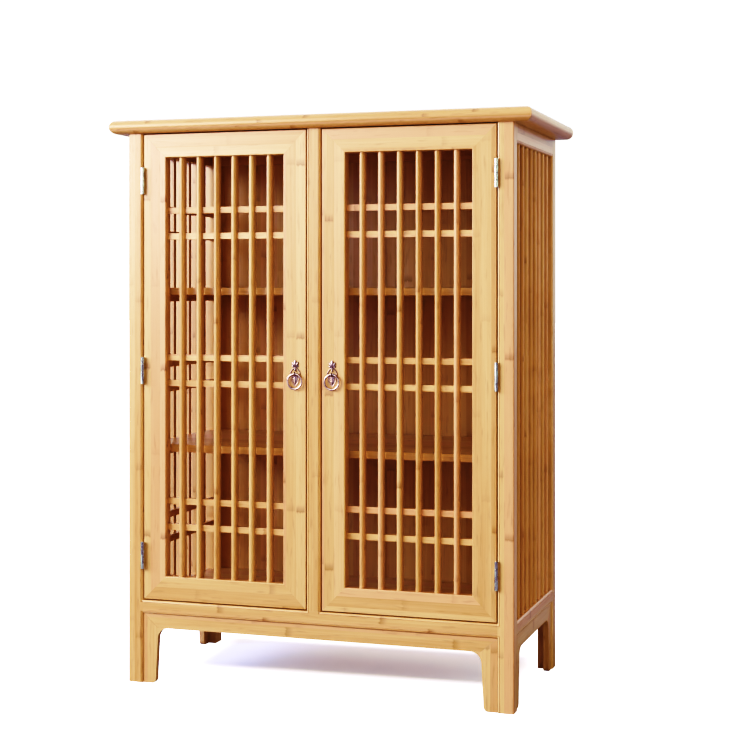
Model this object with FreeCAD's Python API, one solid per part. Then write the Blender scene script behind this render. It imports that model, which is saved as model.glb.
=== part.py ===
"""Book cabinet in laminated bamboo, with two framed lattice doors and open lattice sides.

Millimetres. +X is the cabinet's right, +Y its back and +Z up. The origin lies on the floor, under the
middle of the whole outline, so the front of the posts stands at y = front and their back at y = back.
Left-hand pieces are built first and mirrored in the middle plane for the right-hand ones.
"""
import FreeCAD, Part
import math
import os

Vector = FreeCAD.Vector

# Whole cabinet
carcass_width = 800.0
carcass_depth = 395.0
carcass_height = 1112.0

# Top board: four mitred members with a round edge, and a floating panel in their groove
top_thickness = 28.0
top_side_overhang = 37.5
top_front_overhang = 15.0
top_member_width = 76.0
top_panel_thickness = 18.0
top_tongue = 8.0
top_tongue_thickness = 7.0

# Posts and the rails between them
post_size = 32.0
post_rounding = 2.5
centre_post_width = 30.0
rail_thickness = 22.0
front_rail_depth = 30.0
bottom_rail_height = 28.0
top_rail_height = 38.0
head_rail_depth = 18.0
tenon_length = 12.0
tenon_shoulder = 6.0

# Quarter-round and fine groove along the front edges of each opening
bead_radius = 4.0
quirk_width = 1.2
quirk_depth = 1.2
edge_flats = 3

# Aprons and the leg brackets mitred to them
apron_height = 28.0
apron_foot_height = 112.0
apron_thickness = 12.0
apron_setback = 3.0
front_bracket_head = 33.0
front_bracket_foot = 27.0
side_bracket_head = 30.0
side_bracket_foot = 25.0
bracket_corner_radius = 22.0
bracket_foot_radius = 9.0

# Lattice: rods in front and level bars behind them, halved into each other in the doors
# and laid against the backs of the rods in the sides
rod_width = 11.0
rod_depth = 16.0
rod_setback = 3.0
rod_flats = 6
door_rod_count = 6
side_rod_count = 8
crossbar_height = 13.0
crossbar_depth = 10.0
door_crossbar_setback = 11.0
crossbar_pair_spacing = 52.0
door_crossbar_pair_height_shares = (0.148, 0.492, 0.843)
side_crossbar_pair_height_shares = (0.142, 0.492, 0.850)
lattice_tenon = 6.0
lattice_shoulder = 2.5

# Doors
door_gap = 1.5
door_setback = 2.0
door_thickness = 22.0
door_member_width = 48.0
door_outer_rounding = 1.0
door_inner_rounding = 2.0

# Inside
shelf_thickness = 15.0
lower_shelf_height = 481.0
upper_shelf_drop = 312.0
bearer_width = 14.0
bearer_height = 14.0
bearer_lattice_clearance = 1.0
bottom_board_thickness = 14.0
board_tongue = 4.0
board_tongue_thickness = 6.0
back_panel_thickness = 6.0
back_panel_setback = 8.0
back_panel_tongue = 6.0
back_stile_width = 40.0

# Butt hinges
hinge_height = 54.0
hinge_barrel_radius = 4.0
hinge_pin_radius = 1.6
hinge_running_clearance = 0.05
hinge_leaf_thickness = 1.2
hinge_leaf_depth = 14.0
hinge_leaf_clearance = 0.3
hinge_barrel_clearance = 0.9
hinge_knuckle_gap = 0.4
hinge_knuckle_count = 4
hinge_barrel_sides = 8
hinge_bore_sides = 8
hinge_height_shares = (0.094, 0.492, 0.900)

# Ring pulls
pull_pivot_height = 631.0
pull_edge_distance = 22.0
pull_plate_thickness = 2.0
pull_ring_radius = 14.75
pull_ring_runs = 28
pull_wire_radius = 1.75
pull_wire_sides = 8
pull_plate_clearance = 0.8
pull_eye_radius = 4.0
pull_eye_thickness = 4.0
pull_eye_clearance = 0.4
pull_eye_sides = 12
pull_disc_sides = 12
drop_flats = 5
bud_radius = 4.2
bud_rise = 25.0
bud_spread = 4.4
bud_drop = 5.5
loop_radius = 10.5
loop_band = 3.4
loop_rise = 6.0
neck_width = 4.0
drop_width = 13.0
drop_length = 25.0
drop_start = 2.0

# Magnetic catches behind the heads of the doors
catch_width = 40.0
catch_height = 14.0
catch_rail_inset = 3.0
catch_centre_distance = 48.0
strike_width = 30.0
strike_height = 12.0
strike_thickness = 1.0
strike_clearance = 0.3

# How far a cutting tool runs past what it cuts
overrun = 2.0

# Places worked out from the sizes above
front = (top_front_overhang - carcass_depth) / 2
back = front + carcass_depth
side = carcass_width / 2
post_inner = side - post_size
post_front_back = front + post_size
post_rear_front = back - post_size
rail_underside = apron_foot_height + apron_height
rail_top = rail_underside + bottom_rail_height
side_lattice_top = carcass_height - top_rail_height
door_face = front + door_setback
door_back = door_face + door_thickness
door_width = post_inner - centre_post_width / 2 - 2 * door_gap
door_height = carcass_height - rail_top - 2 * door_gap
door_centre_x = -(post_inner + centre_post_width / 2) / 2
door_centre_z = (carcass_height + rail_top) / 2
door_opening_width = door_width - 2 * door_member_width
door_opening_height = door_height - 2 * door_member_width
rod_back = rod_setback + rod_depth
rod_inner_x = side - rod_back
shelf_end_x = rod_inner_x - bearer_lattice_clearance
upper_shelf_height = carcass_height - upper_shelf_drop
back_rail_front = back - rail_thickness
back_panel_front = back_rail_front + back_panel_setback
hinge_axis_x = -(post_inner - door_gap / 2)
hinge_axis_y = door_face - hinge_barrel_radius - hinge_barrel_clearance
pull_x = -(centre_post_width / 2 + door_gap + pull_edge_distance)
pull_y = door_face - pull_plate_thickness - pull_plate_clearance - pull_wire_radius
slant = 1 - math.sqrt(0.5)


def block(span_x, span_y, span_z):
    """A rectangular solid between three pairs of limits."""
    low = Vector(span_x[0], span_y[0], span_z[0])
    return Part.makeBox(span_x[1] - span_x[0], span_y[1] - span_y[0], span_z[1] - span_z[0], low)


def middle(centre, size):
    """The pair of limits of a size about its centre."""
    return (centre - size / 2, centre + size / 2)


def in_plan(x, y):
    return Vector(x, y, 0)


def in_elevation(x, z):
    return Vector(x, 0, z)


def in_section(y, z):
    return Vector(0, y, z)


def outline(steps, plane, flats=0):
    """A flat face from its corners in order; a pair of points is an arc by way of the first to the second.

    With flats, each arc is drawn in that many straight lengths, which suits small roundings that repeat.
    """
    edges = []
    here = steps[0]
    for step in steps[1:] + steps[:1]:
        if isinstance(step[0], tuple):
            via, there = step
            arc = Part.Arc(plane(*here), plane(*via), plane(*there)).toShape()
            edges += Part.makePolygon(arc.discretize(flats + 1)).Edges if flats else [arc]
        else:
            there = step
            if there != here:
                edges.append(Part.LineSegment(plane(*here), plane(*there)).toShape())
        here = there
    return Part.Face(Part.Wire(edges))


def many_sided(radius, sides, plane):
    """A flat face of equal sides, with corners on a circle about the origin and a side across each axis."""
    turn = 2 * math.pi / sides
    angles = [turn * (number + 0.5) for number in range(sides)]
    corners = [plane(radius * math.cos(angle), radius * math.sin(angle)) for angle in angles]
    return Part.Face(Part.makePolygon(corners + corners[:1]))


def bar(profile, length, flats=0):
    """A section drawn in Y and Z, drawn out along X and centred on x = 0."""
    solid = outline(profile, in_section, flats).extrude(Vector(length, 0, 0))
    solid.translate(Vector(-length / 2, 0, 0))
    return solid


def mitred(solid, length, low, high):
    """Cuts both ends of a bar at 45 degrees, so that it has its whole length at z = 0."""
    half = length / 2
    bounds = solid.BoundBox
    shape = [(low - half, low), (half - low, low), (half - high, high), (high - half, high)]
    wedge = outline(shape, in_elevation).extrude(Vector(0, bounds.YLength + 2 * overrun, 0))
    wedge.translate(Vector(0, bounds.YMin - overrun, 0))
    return solid.common(wedge)


def round_a_rectangle(width, height, make_side):
    """Four sides round a rectangle in the XZ plane: bottom, left, top and right."""
    sides = []
    for turn in range(4):
        length, reach = (width, height / 2) if turn % 2 == 0 else (height, width / 2)
        piece = make_side(length, turn)
        piece.translate(Vector(0, 0, -reach))
        piece.rotate(Vector(0, 0, 0), Vector(0, 1, 0), 90 * turn)
        sides.append(piece)
    return sides


def tenon_bar(spans, axis, length, shoulder):
    """The bar inside a rail that stands out of both ends as its tenons."""
    grown = []
    for number, (low, high) in enumerate(spans):
        grow = length if number == axis else -shoulder
        grown.append((low - grow, high + grow))
    return block(*grown)


def mirrored(solid):
    return solid.mirror(Vector(0, 0, 0), Vector(1, 0, 0))


def to_left_side(solid):
    """Turns a piece that faces the front so that it faces the cabinet's left, at its outer face."""
    turned = solid.copy()
    turned.rotate(Vector(0, 0, 0), Vector(0, 0, 1), -90)
    turned.translate(Vector(-side, (post_front_back + post_rear_front) / 2, 0))
    return turned


def spaced(count, width, opening):
    """Centres of equal pieces with equal gaps in an opening that is centred on zero."""
    gap = (opening - count * width) / (count + 1)
    return [gap + width / 2 + number * (gap + width) - opening / 2 for number in range(count)]


def bead_cutters(span_x, span_z, face):
    """What is cut away round an opening to leave a quarter-round and a fine groove on its front edges."""
    reach = bead_radius + quirk_width
    rim = [(-overrun, overrun), (-overrun, -reach), (0, -reach),
           (quirk_depth, -bead_radius - quirk_width / 2), (0, -bead_radius),
           ((bead_radius * slant, -bead_radius * slant), (bead_radius, 0)), (bead_radius, overrun)]

    def make_side(length, turn):
        return mitred(bar(rim, length + 2 * reach + 2 * overrun, edge_flats), length, -reach, overrun)

    cutters = round_a_rectangle(span_x[1] - span_x[0], span_z[1] - span_z[0], make_side)
    for cutter in cutters:
        cutter.translate(Vector(sum(span_x) / 2, face, sum(span_z) / 2))
    return cutters


def front_beads():
    """Beads round the left door opening, the right one and the opening under the bottom rail."""
    door_span_z = (rail_top, carcass_height + overrun + bead_radius)
    left_span_x = (-post_inner, -centre_post_width / 2)
    right_span_x = (centre_post_width / 2, post_inner)
    cutters = bead_cutters(left_span_x, door_span_z, front)
    cutters += bead_cutters(right_span_x, door_span_z, front)
    cutters += bead_cutters((-post_inner, post_inner), (-rail_top, rail_underside), front)
    return cutters


def left_side_beads():
    """Beads round the left lattice and round the opening under the left bottom rail."""
    span_y = middle(0, post_rear_front - post_front_back)
    cutters = bead_cutters(span_y, (rail_top, side_lattice_top), 0)
    cutters += bead_cutters(span_y, (-rail_top, rail_underside), 0)
    return [to_left_side(cutter) for cutter in cutters]


def hinge_centres():
    return [door_centre_z + (share - 0.5) * door_height for share in hinge_height_shares]


def rail_spans():
    """The limits of each rail, by name."""
    low = (rail_underside, rail_top)
    high = (side_lattice_top, carcass_height)
    left = (-side, rail_thickness - side)
    between = (post_front_back, post_rear_front)
    across = (-post_inner, post_inner)
    return {
        "front_bottom_rail": (across, (front, front + front_rail_depth), low),
        "front_top_rail": ((rail_thickness - side, side - rail_thickness),
                           (post_front_back, post_front_back + head_rail_depth), high),
        "left_bottom_rail": (left, between, low),
        "left_top_rail": (left, between, high),
        "back_bottom_rail": (across, (back_rail_front, back), low),
        "back_top_rail": (across, (back_rail_front, back), high),
        "back_centre_stile": (middle(0, back_stile_width), (back_rail_front, back),
                              (rail_top, side_lattice_top)),
        "centre_post": (middle(0, centre_post_width), (front, post_front_back), (rail_top, carcass_height)),
    }


def rail_tenons(spans):
    """The tenon bar of each rail, by name: across, front to back or upright."""
    run = {"left_bottom_rail": 1, "left_top_rail": 1, "back_centre_stile": 2, "centre_post": 2}
    return {name: tenon_bar(spans[name], run.get(name, 0), tenon_length, tenon_shoulder) for name in spans}


def post_spans(front_post):
    span_y = (front, post_front_back) if front_post else (post_rear_front, back)
    return ((-side, -post_inner), span_y, (0, carcass_height))


def left_post_blank(front_post):
    """A left post before its joints are cut, with its outer corner rounded."""
    span_x, span_y, span_z = post_spans(front_post)
    outer_y, inner_y = span_y if front_post else span_y[::-1]
    cut = post_rounding if front_post else -post_rounding
    corners = [(post_rounding - side, outer_y),
               ((post_rounding * slant - side, outer_y + cut * slant), (-side, outer_y + cut)),
               (-side, inner_y), (-post_inner, inner_y), (-post_inner, outer_y)]
    return outline(corners, in_plan, edge_flats).extrude(Vector(0, 0, span_z[1]))


def post_head_tenon(front_post):
    """The tenon on a post's head, which enters the top board."""
    span_x, span_y, span_z = post_spans(front_post)
    inset_x = (span_x[0] + tenon_shoulder, span_x[1] - tenon_shoulder)
    inset_y = (span_y[0] + tenon_shoulder, span_y[1] - tenon_shoulder)
    return block(inset_x, inset_y, (span_z[1] - tenon_length, span_z[1] + tenon_length))


def left_posts(tenons, bar_tenons, side_beads, front_bead_tools):
    """The left front and left rear posts, with their mortises, beads and hinge recesses."""
    side_tenons = [tenons["left_bottom_rail"], tenons["left_top_rail"]] + bar_tenons
    front_post = left_post_blank(True).fuse(post_head_tenon(True))
    front_post = front_post.cut(side_tenons + [tenons["front_bottom_rail"]] + side_beads + front_bead_tools)
    front_post = front_post.cut([leaf_recess(centre, -1) for centre in hinge_centres()])
    rear_tenons = side_tenons + [tenons["back_bottom_rail"], tenons["back_top_rail"]]
    rear_post = left_post_blank(False).fuse(post_head_tenon(False))
    rear_post = rear_post.cut(rear_tenons + side_beads).cut(left_back_panel())
    return front_post, rear_post


def left_back_panel():
    """The left back panel, with the edges that lie in the grooves of its frame."""
    span_x = (-post_inner - back_panel_tongue, back_panel_tongue - back_stile_width / 2)
    span_y = (back_panel_front, back_panel_front + back_panel_thickness)
    return block(span_x, span_y, (rail_top - back_panel_tongue, side_lattice_top + back_panel_tongue))


def bottom_board_tongue():
    span_x = (rail_thickness - side - board_tongue, side - rail_thickness + board_tongue)
    span_y = (front + front_rail_depth - board_tongue, back_rail_front + board_tongue)
    level = rail_top - bottom_board_thickness / 2
    return block(span_x, span_y, middle(level, board_tongue_thickness))


def bottom_board(neighbours):
    """The bottom board with its tongue, cut round the posts and the tenons that enter the rails."""
    body = block((rail_thickness - side, side - rail_thickness), (front + front_rail_depth, back_rail_front),
                 (rail_top - bottom_board_thickness, rail_top))
    return body.fuse(bottom_board_tongue()).cut(neighbours)


def shelf(height, posts):
    """A shelf on its bearers, notched round the rear posts."""
    span_z = (height - shelf_thickness, height)
    return block((-shelf_end_x, shelf_end_x), (post_front_back, back_rail_front), span_z).cut(posts)


def left_shelf_bearers():
    bars = []
    for height in (lower_shelf_height, upper_shelf_height):
        underside = height - shelf_thickness
        bars.append(block((-shelf_end_x, bearer_width - shelf_end_x), (post_front_back, post_rear_front),
                          (underside - bearer_height, underside)))
    return bars


def top_frame():
    """Front, left, back and right members of the top board, in that order, and the panel."""
    width = carcass_width + 2 * top_side_overhang
    depth = carcass_depth + top_front_overhang
    radius = top_thickness / 2
    groove_low = (top_thickness - top_tongue_thickness) / 2
    groove_high = groove_low + top_tongue_thickness
    inner_edge = [(top_thickness, top_member_width), (groove_high, top_member_width),
                  (groove_high, top_member_width - top_tongue), (groove_low, top_member_width - top_tongue),
                  (groove_low, top_member_width), (0, top_member_width)]
    round_edge = [(0, radius), ((radius, 0), (top_thickness, radius))]
    square_edge = [(0, 0), (top_thickness, 0)]

    def make_side(length, turn):
        edge = square_edge if turn == 2 else round_edge
        return mitred(bar(edge + inner_edge, length), length, 0, top_member_width)

    members = round_a_rectangle(width, depth, make_side)
    end = width / 2
    rounded = outline([(radius - end, 0), (end - radius, 0), ((end, radius), (end - radius, top_thickness)),
                       (radius - end, top_thickness), ((-end, radius), (radius - end, 0))],
                      in_plan).extrude(Vector(0, 0, depth))
    rounded.translate(Vector(0, 0, -depth / 2))
    members[2] = members[2].common(rounded)
    inner_width = width - 2 * top_member_width
    inner_depth = depth - 2 * top_member_width
    panel = block(middle(0, inner_width), (0, top_panel_thickness), middle(0, inner_depth))
    tongue = block(middle(0, inner_width + 2 * top_tongue), (groove_low, groove_high),
                   middle(0, inner_depth + 2 * top_tongue))
    pieces = members + [panel.fuse(tongue)]
    for piece in pieces:
        piece.rotate(Vector(0, 0, 0), Vector(1, 0, 0), -90)
        piece.translate(Vector(0, 0, carcass_height + top_thickness))
    return pieces


def apron_set(length, bracket_head, bracket_foot):
    """An apron and its two leg brackets, facing the front with their outer face at y = 0."""
    half = length / 2
    top = rail_underside
    corners = [(-half, 0), (-half, top), (half, top), (half, 0), (half - bracket_foot, 0),
               (half - bracket_head, apron_foot_height), (bracket_head - half, apron_foot_height),
               (bracket_foot - half, 0)]
    whole = outline(corners, in_elevation).extrude(Vector(0, apron_thickness, 0))
    for x in (half - bracket_head, bracket_head - half):
        whole = round_level_edge(whole, x, apron_foot_height, bracket_corner_radius)
    for x in (half - bracket_foot, bracket_foot - half):
        whole = round_level_edge(whole, x, 0, bracket_foot_radius)
    far_x = half - 2 * bracket_head
    far_z = top - 2 * apron_height
    wedge = outline([(half, top), (far_x, far_z), (far_x, -overrun), (half, -overrun)], in_elevation)
    wedge = wedge.extrude(Vector(0, apron_thickness, 0))
    right = whole.common(wedge)
    left = whole.common(mirrored(wedge))
    apron = whole.cut([wedge, mirrored(wedge)])
    return apron, left, right


def round_level_edge(solid, x, z, radius):
    """Rounds the edge that runs front to back at one place in elevation."""
    near = radius / 10
    edges = [edge for edge in solid.Edges
             if all(abs(end.X - x) < near and abs(end.Z - z) < near for end in edge.Vertexes)]
    return solid.makeFillet(radius, edges)


def rod_outline(centre):
    """A rod in plan: half round in front, square behind."""
    radius = rod_width / 2
    return [(centre - radius, radius), ((centre, 0), (centre + radius, radius)),
            (centre + radius, rod_depth), (centre - radius, rod_depth)]


def rods(count, opening, span_z):
    """Upright rods with their tenons, with the front of the rods at y = rod_setback."""
    solids = []
    tenons = []
    for centre in spaced(count, rod_width, opening):
        rod = outline(rod_outline(centre), in_plan, rod_flats).extrude(Vector(0, 0, span_z[1] - span_z[0]))
        rod.translate(Vector(0, rod_setback, span_z[0]))
        spans = (middle(centre, rod_width), (rod_setback, rod_back), span_z)
        tenon = tenon_bar(spans, 2, lattice_tenon, lattice_shoulder)
        solids.append(rod.fuse(tenon))
        tenons.append(tenon)
    return solids, tenons


def crossbar_centres(pair_height_shares, span_z):
    """Heights of the level bars, which stand in pairs."""
    centres = []
    for share in pair_height_shares:
        pair = span_z[0] + share * (span_z[1] - span_z[0])
        centres += [pair - crossbar_pair_spacing / 2, pair + crossbar_pair_spacing / 2]
    return centres


def lattice(rod_count, opening, span_z, pair_height_shares, bar_front):
    """Rods and crossbars, halved into each other where they cross, and the tenons of both."""
    lap = (bar_front + rod_back) / 2
    uprights, rod_tenons = rods(rod_count, opening, span_z)
    span_x = middle(0, opening)
    span_y = (bar_front, bar_front + crossbar_depth)
    in_front = [block(middle(centre, rod_width), (0, lap), span_z)
                for centre in spaced(rod_count, rod_width, opening)]
    bars = []
    bar_tenons = []
    behind = []
    for centre in crossbar_centres(pair_height_shares, span_z):
        spans = (span_x, span_y, middle(centre, crossbar_height))
        tenon = tenon_bar(spans, 0, lattice_tenon, lattice_shoulder)
        bars.append(block(*spans).fuse(tenon).cut(in_front).removeSplitter())
        bar_tenons.append(tenon)
        behind.append(block(span_x, (lap, rod_back + overrun), spans[2]))
    uprights = [upright.cut(behind).removeSplitter() for upright in uprights]
    return uprights, bars, rod_tenons, bar_tenons


def door_frame(mortises):
    """Bottom, left, top and right members of a door, mitred, with rounded front edges."""
    outer = door_outer_rounding
    inner = door_inner_rounding
    width = door_member_width
    section = [(outer, 0), ((outer * slant, outer * slant), (0, outer)), (0, width - inner),
               ((inner * slant, width - inner * slant), (inner, width)), (door_thickness, width),
               (door_thickness, 0)]

    def make_side(length, turn):
        return mitred(bar(section, length, edge_flats), length, 0, width)

    return [member.cut(mortises) for member in round_a_rectangle(door_width, door_height, make_side)]


def knuckle_spans(centre):
    """Limits in height of a hinge's knuckles, from the lowest to the highest."""
    gaps = hinge_knuckle_count - 1
    height = (hinge_height - gaps * hinge_knuckle_gap) / hinge_knuckle_count
    lowest = centre - hinge_height / 2
    step = height + hinge_knuckle_gap
    feet = [lowest + number * step for number in range(hinge_knuckle_count)]
    return [(foot, foot + height) for foot in feet]


def leaf_span_x(toward):
    """Limits in X of a leaf: toward the post with -1 and toward the door with 1."""
    near = hinge_axis_x + toward * hinge_leaf_clearance / 2
    far = near + toward * hinge_leaf_thickness
    return (min(near, far), max(near, far))


def leaf_back():
    return door_face + hinge_leaf_depth


def round_bar(radius, sides, span_z):
    """A many-sided bar on a hinge's axis."""
    face = many_sided(radius, sides, in_plan)
    face.translate(Vector(hinge_axis_x, hinge_axis_y, span_z[0]))
    return face.extrude(Vector(0, 0, span_z[1] - span_z[0]))


def hinge_leaf(centre, toward, knuckles, bore_radius):
    """One leaf of a butt hinge with its knuckles and the webs that join them."""
    span_x = leaf_span_x(toward)
    plate_front = hinge_axis_y + hinge_barrel_radius + hinge_leaf_clearance
    solid = block(span_x, (plate_front, leaf_back()), middle(centre, hinge_height))
    for low, high in knuckles:
        barrel = round_bar(hinge_barrel_radius, hinge_barrel_sides, (low, high))
        web = block(span_x, (hinge_axis_y, plate_front), (low, high))
        solid = solid.fuse([barrel, web])
    corner_radius = bore_radius / math.cos(math.pi / hinge_bore_sides)
    bore = round_bar(corner_radius, hinge_bore_sides, middle(centre, hinge_height + 2 * overrun))
    return solid.cut(bore).removeSplitter()


def leaf_recess(centre, toward):
    """The shallow recess that lets a leaf into the post or into the door's edge."""
    span_x = leaf_span_x(toward)
    return block(span_x, (front - overrun, leaf_back()), middle(centre, hinge_height))


def left_hinges():
    """Frame leaves, door leaves and pins of the left door's hinges."""
    frame_leaves = []
    door_leaves = []
    pins = []
    for centre in hinge_centres():
        spans = knuckle_spans(centre)
        frame_leaves.append(hinge_leaf(centre, -1, spans[0::2], hinge_pin_radius))
        door_leaves.append(hinge_leaf(centre, 1, spans[1::2], hinge_pin_radius + hinge_running_clearance))
        foot = Vector(hinge_axis_x, hinge_axis_y, centre - hinge_height / 2)
        pins.append(Part.makeCylinder(hinge_pin_radius, hinge_height, foot))
    return frame_leaves, door_leaves, pins


def plate_disc(x, z, radius):
    """A disc of the pull's plate, placed from its pivot."""
    face = many_sided(radius, pull_disc_sides, in_elevation)
    face.translate(in_elevation(x, z))
    return face.extrude(Vector(0, pull_plate_thickness, 0))


def pull_plate():
    """Back plate with a bud, an open loop and a hanging leaf, and the eye that carries the ring."""
    bud = [plate_disc(0, bud_rise, bud_radius)]
    bud += [plate_disc(x, bud_rise - bud_drop, bud_radius) for x in (-bud_spread, bud_spread)]
    loop = plate_disc(0, loop_rise, loop_radius).cut(plate_disc(0, loop_rise, loop_radius - loop_band))
    neck = block(middle(0, neck_width), (0, pull_plate_thickness), (0, bud_rise))
    half = drop_width / 2
    waist = drop_start - drop_length / 2
    foot = drop_start - drop_length
    drop = outline([(0, drop_start), ((half, waist), (0, foot)), ((-half, waist), (0, drop_start))],
                   in_elevation, drop_flats).extrude(Vector(0, pull_plate_thickness, 0))
    plate = loop.fuse(bud + [neck, drop])
    plate_front = pull_wire_radius + pull_plate_clearance
    plate.translate(Vector(0, plate_front, 0))
    across = Vector(pull_eye_thickness, 0, 0)
    lug = many_sided(pull_eye_radius, pull_eye_sides, in_section).extrude(across)
    lug.translate(-across / 2)
    plate_back = plate_front + pull_plate_thickness
    span_x = middle(0, pull_eye_thickness)
    stem = block(span_x, (0, plate_back), middle(0, 2 * pull_wire_radius))
    eye = lug.fuse(stem).common(block(span_x, (-pull_eye_radius, plate_back), middle(0, 2 * pull_eye_radius)))
    hole_radius = pull_wire_radius + pull_eye_clearance
    hole = Part.makeCylinder(hole_radius, pull_eye_thickness, -across / 2, Vector(1, 0, 0))
    solid = plate.fuse(eye).cut(hole).removeSplitter()
    solid.translate(Vector(pull_x, pull_y, pull_pivot_height))
    return solid


def pull_ring():
    """A ring of short straight runs, hanging from the pivot."""
    sections = []
    for number in range(pull_ring_runs):
        section = many_sided(pull_wire_radius, pull_wire_sides, in_plan).OuterWire
        section.translate(Vector(pull_ring_radius, 0, 0))
        section.rotate(Vector(0, 0, 0), Vector(0, 1, 0), 360 * number / pull_ring_runs)
        sections.append(section)
    ring = Part.makeLoft(sections, True, True, True)
    ring.translate(Vector(pull_x, pull_y, pull_pivot_height - pull_ring_radius))
    return ring


def left_catch():
    """Catch body on the head rail, and the strike plate on the back of the door."""
    low = carcass_height - catch_rail_inset - catch_height
    strike_back = door_back + strike_thickness
    catch_front = strike_back + strike_clearance
    catch = block(middle(-catch_centre_distance, catch_width), (catch_front, post_front_back),
                  (low, low + catch_height))
    level = low + catch_height / 2 - door_gap
    strike = block(middle(-catch_centre_distance, strike_width), (door_back, strike_back),
                   middle(level, strike_height))
    return catch, strike


def left_door():
    """Every piece of the left door, by name."""
    uprights, bars, rod_tenons, bar_tenons = lattice(
        door_rod_count, door_opening_width, middle(0, door_opening_height),
        door_crossbar_pair_height_shares, door_crossbar_setback)
    members = door_frame(rod_tenons + bar_tenons)
    names = ("bottom_rail", "hinge_stile", "top_rail", "meeting_stile")
    pieces = {name: [member] for name, member in zip(names, members)}
    pieces["rods"] = uprights
    pieces["crossbars"] = bars
    for solids in pieces.values():
        for solid in solids:
            solid.translate(Vector(door_centre_x, door_face, door_centre_z))
    recesses = [leaf_recess(centre, 1) for centre in hinge_centres()]
    pieces["hinge_stile"] = [pieces["hinge_stile"][0].cut(recesses)]
    return pieces


def top_pieces(mortises):
    names = ("top_frame_front", "top_frame_left", "top_frame_back", "top_frame_right")
    members = top_frame()
    parts = {name: [member.cut(mortises)] for name, member in zip(names, members)}
    parts["top_panel"] = [members[-1]]
    return parts


def carcass_pieces():
    """Posts, rails, boards and panels, by name."""
    spans = rail_spans()
    tenons = rail_tenons(spans)
    beads = front_beads()
    side_beads = left_side_beads()
    posts = [block(*post_spans(front_post)) for front_post in (True, False)]
    posts += [mirrored(post) for post in posts]
    panel = left_back_panel()
    panels = [panel, mirrored(panel)]
    tongue = bottom_board_tongue()
    solid = {name: block(*spans[name]).fuse(tenons[name]) for name in spans}
    upright_tenons = [tenons["back_centre_stile"], tenons["centre_post"]]

    opening = post_rear_front - post_front_back
    lattice_pieces = lattice(side_rod_count, opening, (rail_top, side_lattice_top),
                             side_crossbar_pair_height_shares, rod_back)
    side_rods, crossbars, rod_tenons, bar_tenons = ([to_left_side(shape) for shape in shapes]
                                                    for shapes in lattice_pieces)
    front_post, rear_post = left_posts(tenons, bar_tenons, side_beads, beads)
    head_rail_tenons = [tenons["front_top_rail"]]
    parts = {
        "post_front_left": front_post,
        "post_front_right": mirrored(front_post),
        "post_rear_left": rear_post,
        "post_rear_right": mirrored(rear_post),
        "centre_post": solid["centre_post"].cut(beads),
        "front_bottom_rail": solid["front_bottom_rail"].cut(beads + [tongue] + upright_tenons),
        "front_top_rail": solid["front_top_rail"],
        "left_bottom_rail": solid["left_bottom_rail"].cut(side_beads + [tongue]),
        "left_top_rail": solid["left_top_rail"].cut(side_beads + head_rail_tenons),
        "back_bottom_rail": solid["back_bottom_rail"].cut(panels + [tongue] + upright_tenons),
        "back_top_rail": solid["back_top_rail"].cut(panels + upright_tenons),
        "back_centre_stile": solid["back_centre_stile"].cut(panels),
        "back_panel_left": panel,
        "back_panel_right": mirrored(panel),
        "bottom_board": bottom_board(posts + upright_tenons),
        "lower_shelf": shelf(lower_shelf_height, posts),
        "upper_shelf": shelf(upper_shelf_height, posts),
    }
    parts = {name: [shape] for name, shape in parts.items()}

    parts["left_side_rods"] = side_rods
    parts["side_crossbars"] = crossbars + [mirrored(bar) for bar in crossbars]
    for name in ("left_bottom_rail", "left_top_rail"):
        parts[name] = [parts[name][0].cut(rod_tenons)]
    for name in ("left_bottom_rail", "left_top_rail", "left_side_rods"):
        parts[name.replace("left", "right")] = [mirrored(shape) for shape in parts[name]]
    bearers = left_shelf_bearers()
    parts["shelf_bearers"] = bearers + [mirrored(bearer) for bearer in bearers]
    return parts, tenons


def base_pieces():
    """The three aprons and their six leg brackets."""
    parts = {}
    apron, left, right = apron_set(2 * post_inner, front_bracket_head, front_bracket_foot)
    named = {"apron_front": apron, "bracket_front_left": left, "bracket_front_right": right}
    for name, shape in named.items():
        shape.translate(Vector(0, front + apron_setback, 0))
        parts[name] = [shape]
    apron, rear, fore = apron_set(post_rear_front - post_front_back, side_bracket_head, side_bracket_foot)
    named = {"apron_left": apron, "bracket_left_rear": rear, "bracket_left_front": fore}
    for name, shape in named.items():
        shape.translate(Vector(0, apron_setback, 0))
        shape = to_left_side(shape)
        parts[name] = [shape]
        parts[name.replace("left", "right")] = [mirrored(shape)]
    return parts


def fittings():
    """Hinges, catches and pulls, by name."""
    frame_leaves, door_leaves, pins = left_hinges()
    catch, strike = left_catch()
    shared = {"hinge_frame_leaves": frame_leaves, "hinge_pins": pins, "magnetic_catches": [catch]}
    parts = {name: shapes + [mirrored(shape) for shape in shapes] for name, shapes in shared.items()}
    paired = {"door_hinge_leaves": door_leaves, "door_strike_plate": [strike], "pull_plate": [pull_plate()],
              "pull_ring": [pull_ring()]}
    for name, shapes in paired.items():
        parts["left_" + name] = shapes
        parts["right_" + name] = [mirrored(shape) for shape in shapes]
    return parts


def all_parts():
    """Every node of the cabinet with its solids."""
    parts, tenons = carcass_pieces()
    head_tenons = [post_head_tenon(True), post_head_tenon(False)]
    head_tenons += [mirrored(tenon) for tenon in head_tenons]
    parts.update(top_pieces(head_tenons + [tenons["centre_post"]]))
    parts.update(base_pieces())
    for name, shapes in left_door().items():
        parts["left_door_" + name] = shapes
        parts["right_door_" + name] = [mirrored(shape) for shape in shapes]
    parts.update(fittings())
    return parts


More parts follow.
